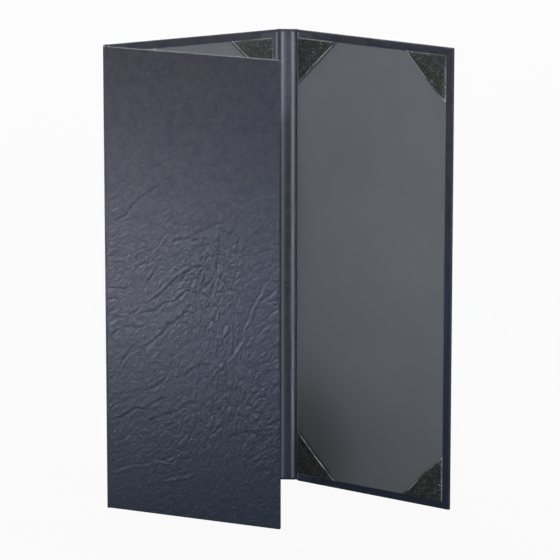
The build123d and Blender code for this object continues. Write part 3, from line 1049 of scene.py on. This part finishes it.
def pocketSkin(cornerX, cornerZ, sideX, sideZ, bow):
    # Rows run parallel to the slant, from the corner out, round the rolled edge and back under
    # the hem; columns run from one leg's foot over the top to the other's. Height above the
    # liner: slot + thickness + bow * (4ab/leg^2)^0.8, with round shoulders along both legs.
    leg, thick, hem, radius = (pocketShape[key] for key in ("leg", "thick", "hem", "round"))
    slot, liner, frame = pocketShape["slot"], menu["linerDepth"], menu["frameDepth"]
    full = leg / np.sqrt(2)
    topRows, rollRows, hemRows, innerRows = pocketShape["rows"]
    top = np.linspace(0, 1, topRows) ** 0.9
    roll = np.radians(np.linspace(0, 180, rollRows))[1:-1]
    hemBack, innerBack = np.linspace(0, hem, hemRows), np.linspace(hem, full - 0.05, innerRows)
    # rows: distance short of the slant, drop under the top, and how far the wall stands out
    rows = [(full * (1 - top), 0, 1),
            (-thick * np.sin(roll), thick - thick * np.cos(roll), (1 + np.cos(roll)) / 2),
            (hemBack, 2 * thick, 0), (innerBack, thick, 0)]
    rows = np.concatenate([np.stack(np.broadcast_arrays(*row)) for row in rows], 1)
    short, drop, outside = rows[..., None]
    lam = 0.5 - 0.5 * np.cos(np.pi * np.linspace(0, 1, pocketShape["columns"]))
    # a and b run from the corner along the two legs; each row ends on the two walls
    wall = thick * outside
    total = np.maximum((full - short) * np.sqrt(2), 0) + 2 * wall
    a, b = -wall + total * lam, -wall + total * (1 - lam)
    near = np.minimum(a, b) + wall
    shoulder = radius * (1 - quarterArc(near, radius))
    dome = np.clip(4 * np.clip(a, 0, None) * np.clip(b, 0, None) / leg ** 2, 0, 1)
    seated = (1 - ease(short, hem - 0.5, hem + 0.6)) * ease(near, 0.3, 2.5)
    lift = slot + thick + bow * dome ** 0.8 + pocketShape["hemLift"] * seated
    lift = lift + pocketShape["ridge"] * ease(near, 0.2, 1.6) * (1 - ease(near, 2.2, 5.0))
    depth = np.maximum(liner + lift - drop - shoulder * outside, liner + 0.02)
    down = np.linspace(0, 1, pocketShape["wallColumns"])[1:] + 0 * short

    def walled(values, first, last):
        # the rows with their two walls' columns before and after them
        return np.concatenate([first + 0 * down, values, last + 0 * down], 1)

    first, last = (edge + (frame - edge) * down for edge in (depth[:, :1], depth[:, -1:]))
    depth = walled(depth, first[:, ::-1], last)
    a, b = walled(a, a[:, :1], a[:, -1:]), walled(b, b[:, :1], b[:, -1:])
    smooth = walled(0.75 * (1 - ease(near, 0.4, 1.2)), 1, 1)
    smooth = np.maximum(smooth, 1 - ease(short, 0.1, 0.7))
    # painted highlight, partly wear, along the rolled hem and the legs' edges
    rolled = (1 - ease(np.abs(short - 0.05), 0.12, 0.42)) * (outside > 0.2)
    legEdge = 0.35 * (1 - ease(np.abs(near - 0.25), 0.1, 0.5)) * (outside > 0.9)
    wear = walled(np.maximum(rolled, legEdge), 0, 0)
    flat = np.stack([cornerX - sideX * a, depth, cornerZ - sideZ * b], -1)
    return closedSweep(flat, smooth, wear)


tight = {"left_right", "middle_left"}  # these meet beside the left spine when it closes
for name, span in linerSpans.items():
    for sideX, sideName in ((-1, "left"), (1, "right")):
        for sideZ, heightName in ((-1, "bottom"), (1, "top")):
            cornerX = span[0] if sideX < 0 else span[1]
            cornerZ = menu["headMargin"] if sideZ < 0 else height - menu["headMargin"]
            bow = pocketShape["flatBow" if f"{name}_{sideName}" in tight else "bow"]
            piece = pocketSkin(cornerX, cornerZ, sideX, sideZ, bow)
            nodeName = f"{name}_pocket_{heightName}_{sideName}"
            makePiece(f"{nodeName}_flap", piece, panels[name][0], pocketFinish,
                      [nodeName], sharp=65)
print("pockets made")

# Studio: pale floor, soft lights, and the camera where the photograph was taken from

studio = {
    "floor": (0.30, 0.30, 0.30),
    "floorWhite": 0.94,
    "world": 0.41,
    "lens": 264.5,
    "turn": 28.3,  # of the camera about the upright, from the middle panel's square
    "tilt": 13.09,  # degrees down
    "distance": 2594.0,
    "height": 737.0,
    "aside": 0.6,
}


def whiteForCamera(tree, share, plain, output):
    # the camera sees a share of plain white instead, and nothing else does
    seen = node(tree, "LightPath", {}, {}, 0)
    kind = "Emission" if output == "OutputMaterial" else "Background"
    white = node(tree, kind, {}, {"Color": (1, 1, 1), "Strength": 1})
    mixed = node(tree, "MixShader", {}, {0: share * seen, 1: plain, 2: white})
    node(tree, output, {}, {"Surface": mixed})


paleFloor, tree = newFinish("paleFloor")
plain = node(tree, "BsdfDiffuse", {}, {"Color": studio["floor"]})
whiteForCamera(tree, studio["floorWhite"], plain, "OutputMaterial")
corners = [(-4, -4, 0), (4, -4, 0), (4, 4, 0), (-4, 4, 0)]
floorMesh = bpy.data.meshes.new("floor")
floorMesh.from_pydata(corners, [], [[0, 1, 2, 3]])
floorMesh.materials.append(paleFloor)
floor = addObject("floor", floorMesh)

world = bpy.data.worlds.new("studio")
bpy.context.scene.world = world
world.use_nodes = True
world.node_tree.nodes.clear()
room = node(world.node_tree, "Background", {}, {"Color": (1, 1, 1), "Strength": studio["world"]})
whiteForCamera(world.node_tree, 1.0, room, "OutputWorld")

turnAngle = np.radians(-studio["turn"])
c, s = np.cos(turnAngle), np.sin(turnAngle)
spin = np.array([[c, -s], [s, c]])


def fromCamera(aside, away, up):
    # a place given across, away from the camera and up, about the right spine's inner hinge
    plan = spin @ np.array([aside, away]) + rightInner
    return Vector((plan[0] / 1000, plan[1] / 1000, up / 1000))


lamps = {
    # name: place, aim, width and height, watts, how far the beam spreads in degrees, tint
    "grazingLamp": ((-1500, -450, 285), (-60, 0, 145), (0.30, 0.10), 0.062, 8, (0.94, 0.98, 1.06)),
    "sideLamp": ((-1500, -450, 285), (-150, 0, 145), (0.30, 0.10), 0.19, 16, (0.94, 0.98, 1.06)),
    "frontLamp": ((-100, -1800, 1100), (0, 0, 185), (0.90, 0.27), 0.46, 4.6),
    "softLamp": ((300, -1700, 1000), (0, 0, 180), (1.40, 1.40), 27.8, 180),
    "backLamp": ((-300, 1900, 1100), (0, 0, 150), (1.60, 1.60), 36.0, 180),
}
for name, (place, aim, size, watts, spread, *tint) in lamps.items():
    lamp = bpy.data.lights.new(name, "AREA")
    lamp.shape, lamp.size, lamp.size_y, lamp.energy = "RECTANGLE", *size, watts
    lamp.spread, lamp.color = np.radians(spread), *(tint or [(1, 1, 1)])
    place = fromCamera(*place)
    addObject(name, lamp, place, fromCamera(*aim) - place)

lens = bpy.data.cameras.new("camera")
lens.lens, lens.sensor_width, lens.clip_start, lens.clip_end = studio["lens"], 36, 0.05, 50
tilt = np.radians(studio["tilt"])
ahead = spin @ np.array([0, 1]) * np.cos(tilt)
bpy.context.scene.camera = addObject(
    "camera", lens, fromCamera(studio["aside"], -studio["distance"], studio["height"]),
    Vector((ahead[0], ahead[1], -np.sin(tilt))))
bpy.context.scene.view_settings.view_transform = "Standard"
print("studio made")
